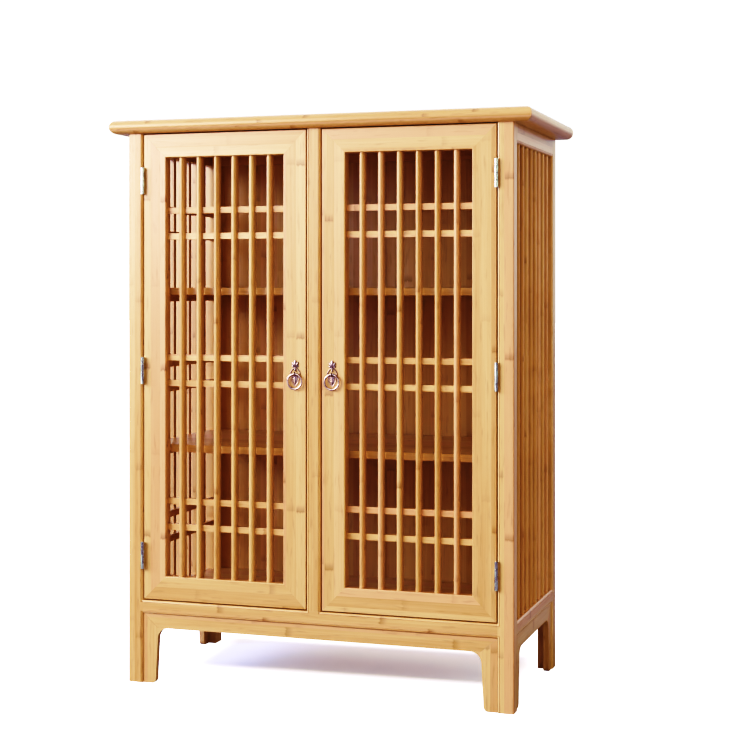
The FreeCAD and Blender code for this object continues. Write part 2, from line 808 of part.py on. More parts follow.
def export(parts):
    os.makedirs("parts", exist_ok=True)
    for name, shapes in sorted(parts.items()):
        solids = [solid for shape in shapes for solid in shape.Solids]
        shape = solids[0] if len(solids) == 1 else Part.makeCompound(solids)
        shape.exportStep("parts/" + name + ".step")
        state = "valid" if shape.isValid() else "NOT VALID"
        print(name, len(solids), "solids", round(shape.Volume), "mm3", state)


export(all_parts())
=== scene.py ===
"""Dresses the bamboo book cabinet: its wood, its fittings, a pale floor and soft studio light."""
import math

import bmesh
import bpy
from mathutils import Matrix, Vector


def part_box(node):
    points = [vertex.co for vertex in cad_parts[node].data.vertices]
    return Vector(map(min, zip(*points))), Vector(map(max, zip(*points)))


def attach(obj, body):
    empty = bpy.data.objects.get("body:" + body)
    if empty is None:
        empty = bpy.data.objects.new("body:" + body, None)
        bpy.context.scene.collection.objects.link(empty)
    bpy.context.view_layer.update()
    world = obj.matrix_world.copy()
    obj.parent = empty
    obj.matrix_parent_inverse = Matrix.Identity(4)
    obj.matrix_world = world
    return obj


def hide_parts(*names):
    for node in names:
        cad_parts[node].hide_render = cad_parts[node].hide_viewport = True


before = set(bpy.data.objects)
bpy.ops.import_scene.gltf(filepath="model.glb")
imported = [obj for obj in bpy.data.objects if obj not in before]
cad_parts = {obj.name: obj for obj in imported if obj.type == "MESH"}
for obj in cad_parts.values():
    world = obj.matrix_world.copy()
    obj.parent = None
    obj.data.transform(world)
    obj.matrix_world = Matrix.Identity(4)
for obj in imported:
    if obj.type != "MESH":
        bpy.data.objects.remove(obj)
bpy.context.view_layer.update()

# Camera, fitted to the photograph
camera_place = (1.0507, -3.0326, 0.8037)
camera_turn = 18.011
camera_lens = 74.415
camera_shift_up = -0.1188

# Tone curves of the picture: light in the scene, and how bright it prints in red, green and blue
white_level = 1.5
curve_lights = (0.03, 0.08, 0.16, 0.30, 0.50, 0.75, 1.0)
curve_tones = ((0.0018, 0.0053, 0.0194, 0.090, 0.269, 0.585, 0.821),
               (0.0018, 0.0052, 0.0193, 0.089, 0.345, 0.645, 0.819),
               (0.0018, 0.0054, 0.0209, 0.160, 0.375, 0.600, 0.809))

# Bamboo strips as they are glued into boards, in metres
strip_width = 0.020
strip_thickness = 0.0065
node_pitch = 0.34
seam_half_share = 0.018

# Marks at the nodes of the culm, in metres along the grain: a thin ridge with a smudge on one side of it
ridge_edges = (0.0016, 0.0003)
smudge_start = (-0.005, 0.0)
smudge_end = (0.016, 0.001)
mark_wander = 0.010
mark_margin_share = 0.12
mark_strengths = (0.1, 0.95, 0.2, 1.0)
node_offset = 9.0
smudge_share = 0.40
ridge_share = 0.14
fleck_share = 0.20
fleck_range = (0.56, 0.74)

# How fine the pattern is along the grain, across it and through it, in repeats a metre
fibre_scale = (14, 1100, 1100)
streak_scale = (3, 240, 240)
cloud_scale = (2.5, 45, 45)
fleck_scale = (20, 170, 170)

# How many finer layers a pattern has and how strong each is, and the range that most of it lies in
fibre_noise = (3, 0.65)
streak_noise = (3, 0.6)
soft_noise = (2, 0.5)
patch_noise = (3, 0.6)
middle_range = (0.2, 0.8)

# How much the strip, its streaks, fibres and clouds, and the seam beside it darken the wood
strip_share, streak_share, fibre_share, cloud_share, seam_share = 0.36, 0.36, 0.24, 0.50, 0.20
depth_range = (0.30, 1.15)
rose_share = 0.6

# How far the fibres, streaks and node ridges stand up, and the seams lie low
relief_shares = (0.5, 0.6, 0.3, -0.7)

# Each piece is cut from another place in the bamboo
seed_step = 3.7
seed_drift = 0.013

# Satin lacquer
lacquer_roughness = 0.36
lacquer_spread = (-0.05, 0.08)
lacquer_coat = 0.5
lacquer_coat_roughness = 0.28
grain_bump = 0.35
grain_depth = 0.0003

# Softened edges of the wooden pieces
edge_softness = 0.0005
soft_edge_angle = math.radians(40)
sharp_edge_angle = math.radians(50)
flat_angle = math.radians(1)
weld_distance = 0.00001
bevel_segments = 3

# Hinges, in millimetres
hinge_axis = (-367.25, -192.9)
hinge_centres = (258.154, 632.472, 1016.4)
hinge_height = 54.0
knuckle_count = 4
knuckle_gap = 0.4
knuckle_radius = 4.0
knuckle_rounding = 0.3
pin_radius = 1.55
bore_radius = 1.65
leaf_front = -188.6
leaf_back = -174.0
leaf_thickness = 1.2
leaf_clearance = 0.3
screw_radius = 2.3
screw_slot = 0.5
screw_slot_share = 0.62
screw_sink = 0.7
screw_proud = 0.06
hinge_screw_shares = (-0.34, 0, 0.34)

# Pulls, in millimetres from the pivot of the ring, with +Y into the door
pull_pivot = (-38.5, -192.55, 631.0)
ring_radius = 14.75
ring_wire = 1.75
ring_collar = 2.25
ring_collar_angles = (-27, 27)
ring_collar_shoulder_share = 0.85
ring_collar_profile = (1.5, 1.3)
eye_radius = 3.05
eye_wire = 0.9
ornament_depth = 3.4

# Bud, loop and leaf of the pull: outlines as distances from the middle and heights above the pivot
petal_profile = ((0, -7.2), (1.6, -6.2), (3.1, -3.0), (3.5, 0), (2.7, 3.6), (1.2, 6.6), (0, 8.2))
petal_flatness = 0.55
bud_flatness = 0.7
bud_collar_radius = 2.1
bud_collar_wire = 0.8
bud_collar_height = 12.4
loop_top = [(0, 12.6)]
loop_side = [(4.2, 10.8), (8.2, 6.4), (10.2, 1.2), (8.4, -2.6), (4.0, -2.4)]
loop_foot = [(0, -0.6)]
loop_wire = 0.85
loop_behind = 0.2
drop_profile = ((0, -3.6), (1.2, -2.8), (1.7, -1.2), (1.2, 1.2), (0.5, 3.6), (0, 4.2))
drop_height = 8.0
drop_ahead = 0.3
leaf_profile = ((0, -10.5), (1.4, -7.6), (3.6, -2.5), (4.6, 3.0), (3.8, 7.5), (1.6, 10.2), (0, 10.8))
leaf_height = -11.4
leaf_behind = 0.7
leaf_flatness = 0.14
leaf_rim = ((0.4, -0.8), (5.8, -2.2), (8.6, -7.6), (6.4, -15.6), (0.3, -23.6))
leaf_rim_wire = 0.75
midrib_line = ((0, -0.5), (0, -12), (0, -23.5))
midrib_wire = 0.7
midrib_ahead = 0.2
rib_wire = 0.6
rib_ahead = 0.1
rib_fall_shares = (0.35, 0.45)

# Petals in pairs, and the middle one: sideways, height, lean in degrees, size, and how far back it lies
petal_places = ((3.3, 18.4, 34, 0.80, 0.0), (3.6, 14.8, 84, 0.58, 0.3), (0, 20.4, 0, 0.96, -0.6))

# Slanting ribs of the leaf: where they leave the midrib, and how far they reach
leaf_rib_tops = ((-3.2, 6.2), (-7.6, 6.0), (-12.0, 4.4))

# Fittings are drawn in millimetres, and become pieces in metres
millimetre = 0.001
merge_distance = 0.001

# Catches and strike plates
catch_centre = 48.0
catch_strip_half = 7.0
catch_strip_offsets = (-3.0, 3.0)
catch_strip_thickness = 2.0
catch_strip_proud = 0.15
catch_strip_rounding = 0.1
strike_screw_shares = (0.15, 0.85)
strike_softness = 0.0002
catch_softness = 0.0008

# Bamboo: its pale and dark strips, its nodes, and the strips that lean to rose
wood_light = (0.92, 0.69, 0.38, 1)
wood_dark = (0.71, 0.44, 0.175, 1)
wood_mark = (0.44, 0.20, 0.06, 1)
wood_rose = (0.87, 0.56, 0.34, 1)
wood_labels = ("Light", "Dark", "Mark", "Rose")

# Metal fittings, with their patches in repeats a metre, and how far their colour and gloss vary
steel_colour = (0.98, 0.84, 0.72)
steel_roughness = 0.30
steel_scale = (200, 200, 40)
dark_bronze_colour = (0.62, 0.43, 0.35)
dark_bronze_roughness = 0.42
dark_bronze_scale = (260, 260, 260)
rose_bronze_colour = (0.90, 0.62, 0.50)
rose_bronze_roughness = 0.34
rose_bronze_scale = (180, 180, 180)
patch_range = (0.3, 0.7)
paler_share = 1.2
darker_share = 0.7
roughness_spread = 0.07
metal_bump = 0.08
metal_depth = 0.0001

# Moulded plastic of the catches
catch_colour = (0.30, 0.17, 0.09)
plastic_scale = (900, 900, 900)
plastic_darker_share = 0.85
plastic_roughness = (0.45, 0.6)
plastic_bump = 0.3
plastic_depth = 0.0002

# White paper under the cabinet: where its soft shadow shows, in metres, and how it is lit. Beyond that
# area the paper glows white, painted light that hides the rest of its cast shadow
shadow_centre = (0, 0.125, 0)
shadow_turn = 0.05
shadow_half = (0.31, 0.10, 0)
shadow_blur = 0.07
paper_glow = 1.6
# The camera sees a paper brighter than white and lavender, which paints the shadow lavender; the lamps
# see the bounced paper
paper_lit = (1.6, 1.78, 2.6, 1)
paper_bounced = (0.58, 0.56, 0.56, 1)
# Painted glow that gloss sees on the paper, stronger away from the shadow
paper_sheen = (0.97, 0.88, 1.0, 1)
paper_sheen_spread = 0.5
paper_sheen_strengths = (0.1, 0.45)
floor_reach = 30

# White room round the cabinet: its light, stronger from behind, and the walls that the lacquer mirrors
room_white = 1.6
room_colour = (1.0, 0.80, 0.61, 1)
room_edge = (0.7, 0.95)
room_strengths = (0.72, 1.8)
back_wall_colour = (0.82, 0.87, 1.0, 1)
back_wall_edge = (-0.1, 0.7)
back_wall_strength = 1.3
left_wall_colour = (0.52, 0.72, 1.0, 1)
left_wall_edge = (0.2, -0.5)
left_wall_strength = 2.6

# Soft square lamps: name, place and size in metres, power, colour, and whether they show only in gloss
lamps = (("key", (-4.8, -5.0, 3.2), 2.0, 250, (0.93, 0.98, 1.0), False),
         ("side_key", (-6.2, -3.1, 3.0), 2.0, 320, (0.42, 0.57, 1.0), False),
         ("front", (1.0, -5.0, 1.8), 2.0, 23, (1.0, 0.94, 0.73), False),
         ("right", (3.4, -0.7, 1.6), 1.5, 17, (0.86, 1.0, 0.99), False),
         ("sheen", (-1.9, -3.1, 1.5), 1.2, 43, (0.81, 0.73, 1.0), True))
lamp_aim = (0, 0, 0.6)


def add(tree, kind, values=(), **settings):
    """A shader node with its settings and inputs; an input given as a socket is linked."""
    node = tree.nodes.new("ShaderNode" + kind)
    for name, value in settings.items():
        setattr(node, name, value)
    for name, value in dict(values).items():
        if isinstance(value, bpy.types.NodeSocket):
            tree.links.new(value, node.inputs[name])
        else:
            node.inputs[name].default_value = value
    return node


def maths(tree, operation, *values):
    return add(tree, "Math", dict(enumerate(values)), operation=operation).outputs[0]


def fade(tree, value, start, end, low=0.0, high=1.0):
    """Goes smoothly from low to high while the value goes from start to end."""
    values = {"Value": value, "From Min": start, "From Max": end, "To Min": low, "To Max": high}
    return add(tree, "MapRange", values, interpolation_type="SMOOTHSTEP").outputs[0]


def blended(tree, share, first, second):
    """The share of the second colour laid over the first."""
    node = tree.nodes.new("ShaderNodeMix")
    node.data_type = "RGBA"
    for name, value in (("Factor", share), ("A", first), ("B", second)):
        socket = next(s for s in node.inputs if s.name == name and s.enabled)
        if isinstance(value, bpy.types.NodeSocket):
            tree.links.new(value, socket)
        else:
            socket.default_value = value
    return next(s for s in node.outputs if s.enabled)


def stretched(tree, vector, scale):
    return add(tree, "VectorMath", {0: vector, 1: scale}, operation="MULTIPLY").outputs[0]


def noise(tree, vector, detail, roughness):
    values = {"Vector": vector, "Scale": 1.0, "Detail": detail, "Roughness": roughness}
    return add(tree, "TexNoise", values).outputs[0]


def by_ray(tree, lighting, mirrored, seen):
    """One shader for light that falls on things, one for mirror images and one for the camera."""
    path = add(tree, "LightPath").outputs
    gloss = {0: path["Is Glossy Ray"], 1: lighting.outputs[0], 2: mirrored.outputs[0]}
    unseen = add(tree, "MixShader", gloss)
    return add(tree, "MixShader", {0: path["Is Camera Ray"], 1: unseen.outputs[0], 2: seen.outputs[0]})


def total(tree, first, *weighted):
    """The first value plus each further value times its weight."""
    for value, weight in weighted:
        first = maths(tree, "ADD", first, maths(tree, "MULTIPLY", value, weight))
    return first


def new_group(name, inputs, outputs):
    """An empty node group with its sockets, and its two ends."""
    tree = bpy.data.node_groups.new(name, "ShaderNodeTree")
    for label, kind, default in inputs:
        socket = tree.interface.new_socket(label, in_out="INPUT", socket_type="NodeSocket" + kind)
        if default is not None:
            socket.default_value = default
    for label, kind in outputs:
        tree.interface.new_socket(label, in_out="OUTPUT", socket_type="NodeSocket" + kind)
    given = tree.nodes.new("NodeGroupInput").outputs
    result = tree.nodes.new("NodeGroupOutput").inputs
    return tree, given, result


def bamboo_group():
    """Laminated bamboo: strips glued side by side, their joints, fibres and node marks.

    Grain runs along X of the given vector. The strips lie side by side in Y and in layers in Z.
    """
    inputs = [("Grain", "Vector", None), ("Seed", "Float", 0.0)]
    inputs += [(label, "Color", (1, 1, 1, 1)) for label in wood_labels]
    outputs = [("Color", "Color"), ("Roughness", "Float"), ("Height", "Float")]
    tree, given, result = new_group("bamboo", inputs, outputs)
    seed = given["Seed"]
    moved = add(tree, "CombineXYZ", {0: seed, 1: maths(tree, "MULTIPLY", seed, seed_drift), 2: 0.0})
    place = add(tree, "VectorMath", {0: given["Grain"], 1: moved.outputs[0]}, operation="ADD").outputs[0]
    along, across, through = add(tree, "SeparateXYZ", {0: place}).outputs
    layer = maths(tree, "FLOOR", maths(tree, "DIVIDE", through, strip_thickness))
    row = add(tree, "CombineXYZ", {0: layer, 1: seed}).outputs[0]
    shift = add(tree, "TexWhiteNoise", {"Vector": row})
    strips = maths(tree, "ADD", maths(tree, "DIVIDE", across, strip_width), shift.outputs["Value"])
    column = maths(tree, "FLOOR", strips)
    cell = add(tree, "CombineXYZ", {0: column, 1: layer, 2: seed}).outputs[0]
    dice = add(tree, "TexWhiteNoise", {"Vector": cell}).outputs["Color"]
    tone, offset, tint = add(tree, "SeparateColor", {0: dice}).outputs

    fibres = noise(tree, stretched(tree, place, fibre_scale), *fibre_noise)
    streaks = noise(tree, stretched(tree, place, streak_scale), *streak_noise)
    clouds = noise(tree, stretched(tree, place, cloud_scale), *soft_noise)
    flecks = fade(tree, noise(tree, stretched(tree, place, fleck_scale), *soft_noise), *fleck_range)

    turn = total(tree, maths(tree, "DIVIDE", along, node_pitch), (offset, node_offset))
    reach = maths(tree, "SUBTRACT", maths(tree, "FRACT", turn), 0.5)
    reach = maths(tree, "MULTIPLY", reach, node_pitch)
    reach = total(tree, reach, (maths(tree, "SUBTRACT", streaks, 0.5), mark_wander))
    ridge = fade(tree, maths(tree, "ABSOLUTE", reach), *ridge_edges)
    smudge = maths(tree, "MINIMUM", fade(tree, reach, *smudge_start), fade(tree, reach, *smudge_end))
    inside = maths(tree, "ABSOLUTE", maths(tree, "SUBTRACT", maths(tree, "FRACT", strips), 0.5))
    in_strip = fade(tree, inside, 0.5, 0.5 - mark_margin_share)
    strength = maths(tree, "MULTIPLY", fade(tree, tint, *mark_strengths), in_strip)
    marks = total(tree, maths(tree, "MULTIPLY", smudge, smudge_share), (ridge, ridge_share))
    marks = total(tree, maths(tree, "MULTIPLY", marks, strength), (flecks, fleck_share))

    seam = fade(tree, inside, 0.5 - seam_half_share, 0.5)
    depth = total(tree, maths(tree, "MULTIPLY", tone, strip_share), (streaks, streak_share),
                  (fibres, fibre_share), (clouds, cloud_share), (seam, seam_share))
    wood = blended(tree, fade(tree, depth, *depth_range), given["Light"], given["Dark"])
    rosy = fade(tree, offset, 0.5, 1.0, 0.0, rose_share)
    wood = blended(tree, rosy, wood, given["Rose"])
    tree.links.new(blended(tree, marks, wood, given["Mark"]), result["Color"])
    smooth, rough = (lacquer_roughness + spread for spread in lacquer_spread)
    tree.links.new(fade(tree, streaks, *middle_range, smooth, rough), result["Roughness"])
    fibre_relief, streak_relief, ridge_relief, seam_relief = relief_shares
    height = total(tree, maths(tree, "MULTIPLY", fibres, fibre_relief), (streaks, streak_relief),
                   (ridge, ridge_relief), (seam, seam_relief))
    tree.links.new(height, result["Height"])
    return tree


def new_material(name):
    """A material with its tree and its Principled shader."""
    material = bpy.data.materials.new(name)
    material.use_nodes = True
    tree = material.node_tree
    shader = next(node for node in tree.nodes if node.type == "BSDF_PRINCIPLED")
    return material, tree, shader


def bamboo(name, order, seed, tones):
    """Lacquered bamboo whose grain, strip width and strip layers lie along the three axes in order."""
    material, tree, shader = new_material("bamboo_" + name)
    axes = add(tree, "SeparateXYZ", {0: add(tree, "TexCoord").outputs["Object"]}).outputs
    turned_axes = {slot: axes[axis.upper()] for slot, axis in enumerate(order)}
    grain = add(tree, "CombineXYZ", turned_axes).outputs[0]
    pattern = tree.nodes.new("ShaderNodeGroup")
    pattern.node_tree = bamboo_tree
    tree.links.new(grain, pattern.inputs["Grain"])
    pattern.inputs["Seed"].default_value = seed
    for label, tone in zip(wood_labels, tones):
        pattern.inputs[label].default_value = tone
    bump = add(tree, "Bump", {"Strength": grain_bump, "Distance": grain_depth,
                              "Height": pattern.outputs["Height"]})
    tree.links.new(pattern.outputs["Color"], shader.inputs["Base Color"])
    tree.links.new(pattern.outputs["Roughness"], shader.inputs["Roughness"])
    tree.links.new(bump.outputs[0], shader.inputs["Normal"])
    shader.inputs["Coat Weight"].default_value = lacquer_coat
    shader.inputs["Coat Roughness"].default_value = lacquer_coat_roughness
    return material


bamboo_tree = bamboo_group()

# Wooden pieces by the way that their grain, strips and layers lie
grain_orders = {
    "xyz": ("top_frame_front", "top_frame_back", "top_panel", "bottom_board", "lower_shelf",
            "upper_shelf"),
    "yxz": ("top_frame_left", "top_frame_right", "shelf_bearers"),
    "xzy": ("front_top_rail", "front_bottom_rail", "back_top_rail", "back_bottom_rail", "apron_front",
            "left_door_top_rail", "left_door_bottom_rail", "left_door_crossbars",
            "right_door_top_rail", "right_door_bottom_rail", "right_door_crossbars"),
    "yzx": ("left_top_rail", "left_bottom_rail", "right_top_rail", "right_bottom_rail", "apron_left",
            "apron_right", "side_crossbars"),
    "zxy": ("post_front_left", "post_front_right", "post_rear_left", "post_rear_right", "centre_post",
            "back_centre_stile", "back_panel_left", "back_panel_right", "bracket_front_left",
            "bracket_front_right", "left_door_hinge_stile", "left_door_meeting_stile", "left_door_rods",
            "right_door_hinge_stile", "right_door_meeting_stile", "right_door_rods"),
    "zyx": ("left_side_rods", "right_side_rods", "bracket_left_front", "bracket_left_rear",
            "bracket_right_front", "bracket_right_rear"),
}


def shade_group():
    """Shades faces smoothly and keeps the edges sharp that turn by more than a set angle."""
    tree = bpy.data.node_groups.new("smooth_faces", "GeometryNodeTree")
    tree.interface.new_socket("Geometry", in_out="INPUT", socket_type="NodeSocketGeometry")
    tree.interface.new_socket("Geometry", in_out="OUTPUT", socket_type="NodeSocketGeometry")
    given = tree.nodes.new("NodeGroupInput").outputs[0]
    faces = tree.nodes.new("GeometryNodeSetShadeSmooth")
    faces.domain = "FACE"
    edges = tree.nodes.new("GeometryNodeSetShadeSmooth")
    edges.domain = "EDGE"
    angle = tree.nodes.new("GeometryNodeInputMeshEdgeAngle")
    soft = tree.nodes.new("FunctionNodeCompare")
    soft.data_type = "FLOAT"
    soft.operation = "LESS_THAN"
    soft.inputs[1].default_value = sharp_edge_angle
    tree.links.new(angle.outputs[0], soft.inputs[0])
    tree.links.new(given, faces.inputs["Geometry"])
    tree.links.new(faces.outputs[0], edges.inputs["Geometry"])
    tree.links.new(soft.outputs[0], edges.inputs["Shade Smooth"])
    tree.links.new(edges.outputs[0], tree.nodes.new("NodeGroupOutput").inputs[0])
    return tree


smooth_tree = shade_group()


def finish_edges(piece, softness):
    """Softens the sharp edges of a carried-over piece with modifiers, and shades its rounds smoothly."""
    piece.modifiers.new("weld", "WELD").merge_threshold = weld_distance
    flat = piece.modifiers.new("flat", "DECIMATE")
    flat.decimate_type = "DISSOLVE"
    flat.angle_limit = flat_angle
    bevel = piece.modifiers.new("bevel", "BEVEL")
    bevel.width = softness
    bevel.segments = bevel_segments
    bevel.limit_method = "ANGLE"
    bevel.angle_limit = soft_edge_angle
    piece.modifiers.new("smooth", "NODES").node_group = smooth_tree
    normals = piece.modifiers.new("normals", "WEIGHTED_NORMAL")
    normals.keep_sharp = True


def dress(node, material, softness=edge_softness):
    """Gives a carried-over piece its material and its softened edges."""
    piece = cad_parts[node]
    piece.data.materials.clear()
    piece.data.materials.append(material)
    finish_edges(piece, softness)


def dress_wood():
    tones = (wood_light, wood_dark, wood_mark, wood_rose)
    seed = 0
    for order, names in grain_orders.items():
        for name in names:
            seed += 1
            dress(name, bamboo(name, order, seed * seed_step, tones))


def metal(name, colour, roughness, scale):
    """Metal with a slightly uneven colour and gloss."""
    material, tree, shader = new_material(name)
    where = add(tree, "TexCoord").outputs["Object"]
    patches = noise(tree, stretched(tree, where, scale), *patch_noise)
    lighter = tuple(min(1.0, channel * paler_share) for channel in colour) + (1,)
    darker = tuple(channel * darker_share for channel in colour) + (1,)
    tone = blended(tree, fade(tree, patches, *patch_range), darker, lighter)
    low, high = roughness - roughness_spread, roughness + roughness_spread
    gloss = fade(tree, patches, *patch_range, low, high)
    tree.links.new(tone, shader.inputs["Base Color"])
    tree.links.new(gloss, shader.inputs["Roughness"])
    bump = add(tree, "Bump", {"Strength": metal_bump, "Distance": metal_depth, "Height": patches})
    tree.links.new(bump.outputs[0], shader.inputs["Normal"])
    shader.inputs["Metallic"].default_value = 1.0
    return material


def plastic(name, colour):
    """Matte moulded plastic with a fine grain."""
    material, tree, shader = new_material(name)
    where = add(tree, "TexCoord").outputs["Object"]
    grain = noise(tree, stretched(tree, where, plastic_scale), *soft_noise)
    darker = tuple(channel * plastic_darker_share for channel in colour) + (1,)
    tree.links.new(blended(tree, grain, darker, colour + (1,)), shader.inputs["Base Color"])
    tree.links.new(fade(tree, grain, *middle_range, *plastic_roughness), shader.inputs["Roughness"])
    bump = add(tree, "Bump", {"Strength": plastic_bump, "Distance": plastic_depth, "Height": grain})
    tree.links.new(bump.outputs[0], shader.inputs["Normal"])
    return material


def form(shape):
    """Closes a shape, turns its faces outwards and keeps it as a mesh."""
    bmesh.ops.remove_doubles(shape, verts=shape.verts, dist=merge_distance)
    bmesh.ops.recalc_face_normals(shape, faces=shape.faces)
    mesh = bpy.data.meshes.new("form")
    shape.to_mesh(mesh)
    shape.free()
    return mesh


def turned(profile, steps=24, closed=False):
    """A form turned about Z from radii and heights."""
    shape = bmesh.new()
    verts = [shape.verts.new((radius, 0, height)) for radius, height in profile]
    edges = [shape.edges.new(pair) for pair in zip(verts, verts[1:] + verts[:1] * closed)]
    bmesh.ops.spin(shape, geom=verts + edges, cent=(0, 0, 0), axis=(0, 0, 1), dvec=(0, 0, 0),
                   angle=2 * math.pi, steps=steps, use_merge=True)
    return form(shape)


def round_wire(radius, wire, steps=48, sides=12):
    """A round wire bent into a circle about Z."""
    turns = [2 * math.pi * number / sides for number in range(sides)]
    outline = [(radius + wire * math.cos(turn), wire * math.sin(turn)) for turn in turns]
    return turned(outline, steps, True)


def bent_wire(points, wire, closed):
    """A round wire along a smooth line through the plane of the ornament, given as X and Z."""
    curve = bpy.data.curves.new("wire", "CURVE")
    curve.dimensions = "3D"
    curve.bevel_depth = wire
    curve.bevel_resolution = 3
    curve.use_fill_caps = True
    spline = curve.splines.new("NURBS")
    spline.points.add(len(points) - 1)
    for point, (x, z) in zip(spline.points, points):
        point.co = (x, 0, z, 1)
    spline.order_u = 3
    spline.use_cyclic_u = closed
    spline.use_endpoint_u = not closed
    spline.resolution_u = 8
    holder = bpy.data.objects.new("wire", curve)
    mesh = bpy.data.meshes.new_from_object(holder)
    bpy.data.objects.remove(holder)
    shape = bmesh.new()
    shape.from_mesh(mesh)
    return form(shape)


def flat_bar(span_x, span_y, span_z, rounding):
    """A flat bar between three pairs of limits, with softened edges."""
    shape = bmesh.new()
    bmesh.ops.create_cube(shape, size=1)
    spans = (span_x, span_y, span_z)
    bmesh.ops.scale(shape, vec=[span[1] - span[0] for span in spans], verts=shape.verts)
    bmesh.ops.translate(shape, vec=[sum(span) / 2 for span in spans], verts=shape.verts)
    bmesh.ops.bevel(shape, geom=shape.edges[:], offset=rounding, affect="EDGES", segments=2, profile=0.5,
                    material=-1)
    return form(shape)


def screw_head():
    """A countersunk head with a cross recess, its face at Z = 0."""
    shape = bmesh.new()
    rim = bmesh.ops.create_circle(shape, segments=24, radius=screw_radius)["verts"]
    rim_edges = list({edge for vert in rim for edge in vert.link_edges})
    arm = screw_radius * screw_slot_share
    half = screw_slot / 2
    corners = []
    for quarter in range(4):
        turn = Matrix.Rotation(math.radians(90 * quarter), 2)
        corners += [turn @ Vector(corner) for corner in ((arm, -half), (arm, half), (half, half))]
    cross = [shape.verts.new((corner.x, corner.y, 0)) for corner in corners]
    cross_edges = [shape.edges.new(pair) for pair in zip(cross, cross[1:] + cross[:1])]
    bmesh.ops.bridge_loops(shape, edges=rim_edges + cross_edges)
    for edges, sink in ((cross_edges, screw_sink), (rim_edges, screw_proud + screw_slot)):
        grown = bmesh.ops.extrude_edge_only(shape, edges=edges)["geom"]
        verts = [item for item in grown if isinstance(item, bmesh.types.BMVert)]
        bmesh.ops.translate(shape, vec=(0, 0, -sink), verts=verts)
        if edges is cross_edges:
            ends = [edge for edge in grown if isinstance(edge, bmesh.types.BMEdge) and
                    all(vert in verts for vert in edge.verts)]
            bmesh.ops.edgenet_fill(shape, edges=ends)
    return form(shape)


class Fitting:
    """A fitting put together from forms in millimetres, which becomes one piece in metres."""

    def __init__(self):
        self.shape = bmesh.new()

    def put(self, mesh, place=(0, 0, 0), turn=(0, 0, 0), scale=(1, 1, 1)):
        """Adds a form: scaled first, then turned about X, Y and Z in degrees, then moved."""
        start = len(self.shape.verts)
        self.shape.from_mesh(mesh)
        self.shape.verts.ensure_lookup_table()
        matrix = Matrix.Translation(place)
        for axis, angle in zip("ZYX", reversed(turn)):
            matrix = matrix @ Matrix.Rotation(math.radians(angle), 4, axis)
        matrix = matrix @ Matrix.Diagonal((*scale, 1))
        bmesh.ops.transform(self.shape, matrix=matrix, verts=self.shape.verts[start:])

    def finish(self, name, material, body, slot, replaced=(), mirror=False, place=(0, 0, 0)):
        """Makes the piece, on the cabinet's other side where it is mirrored, and lets it ride."""
        shape = self.shape.copy()
        matrix = Matrix.Scale(millimetre, 4) @ Matrix.Translation(place)
        if mirror:
            matrix = Matrix.Scale(-1, 4, (1, 0, 0)) @ matrix
        bmesh.ops.transform(shape, matrix=matrix, verts=shape.verts)
        if mirror:
            bmesh.ops.reverse_faces(shape, faces=shape.faces)
        mesh = bpy.data.meshes.new(name)
        shape.to_mesh(mesh)
        shape.free()
        mesh.materials.append(material)
        mesh.shade_smooth()
        mesh.set_sharp_from_angle(angle=soft_edge_angle)
        piece = bpy.data.objects.new(name, mesh)
        bpy.context.scene.collection.objects.link(piece)
        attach(piece, body)
        if replaced:
            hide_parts(*replaced)
        return piece


def leaf_sign(side_sign, first):
    """The way a leaf lies from its pin: a frame leaf outwards, a door leaf inwards."""
    return side_sign if first == 0 else -side_sign


def leaf_face(side_sign, first):
    return -side_sign * hinge_axis[0] + leaf_sign(side_sign, first) * leaf_clearance / 2


def hinge_knuckles(fitting, side_sign, centre, first, bore):
    """Every second knuckle of one hinge, each with the web that joins it to its leaf."""
    height = (hinge_height - (knuckle_count - 1) * knuckle_gap) / knuckle_count
    shoulder = knuckle_radius - knuckle_rounding
    profile = [(bore, 0), (shoulder, 0), (knuckle_radius, knuckle_rounding),
               (knuckle_radius, height - knuckle_rounding), (shoulder, height), (bore, height)]
    knuckle = turned(profile, 32, True)
    near = leaf_face(side_sign, first)
    far = near + leaf_sign(side_sign, first) * leaf_thickness
    for number in range(first, knuckle_count, 2):
        foot = centre - hinge_height / 2 + number * (height + knuckle_gap)
        fitting.put(knuckle, (-side_sign * hinge_axis[0], hinge_axis[1], foot))
        web_y = (hinge_axis[1] + pin_radius + leaf_thickness, leaf_front + leaf_clearance)
        fitting.put(flat_bar(sorted((near, far)), web_y, (foot, foot + height), knuckle_rounding / 3))


def hinge_leaf(fitting, side_sign, centre, first):
    """One flat leaf with its three screws."""
    sign = leaf_sign(side_sign, first)
    near = leaf_face(side_sign, first)
    far = near + sign * leaf_thickness
    reach = hinge_height / 2
    fitting.put(flat_bar(sorted((near, far)), (leaf_front, leaf_back), (centre - reach, centre + reach),
                         knuckle_rounding / 3))
    middle_y = (leaf_front + leaf_back) / 2 + leaf_thickness
    for share in hinge_screw_shares:
        screw_y = middle_y + abs(share) * leaf_thickness
        place = (near - sign * screw_proud, screw_y, centre + share * hinge_height)
        fitting.put(screw, place, (0, -sign * 90, 0))


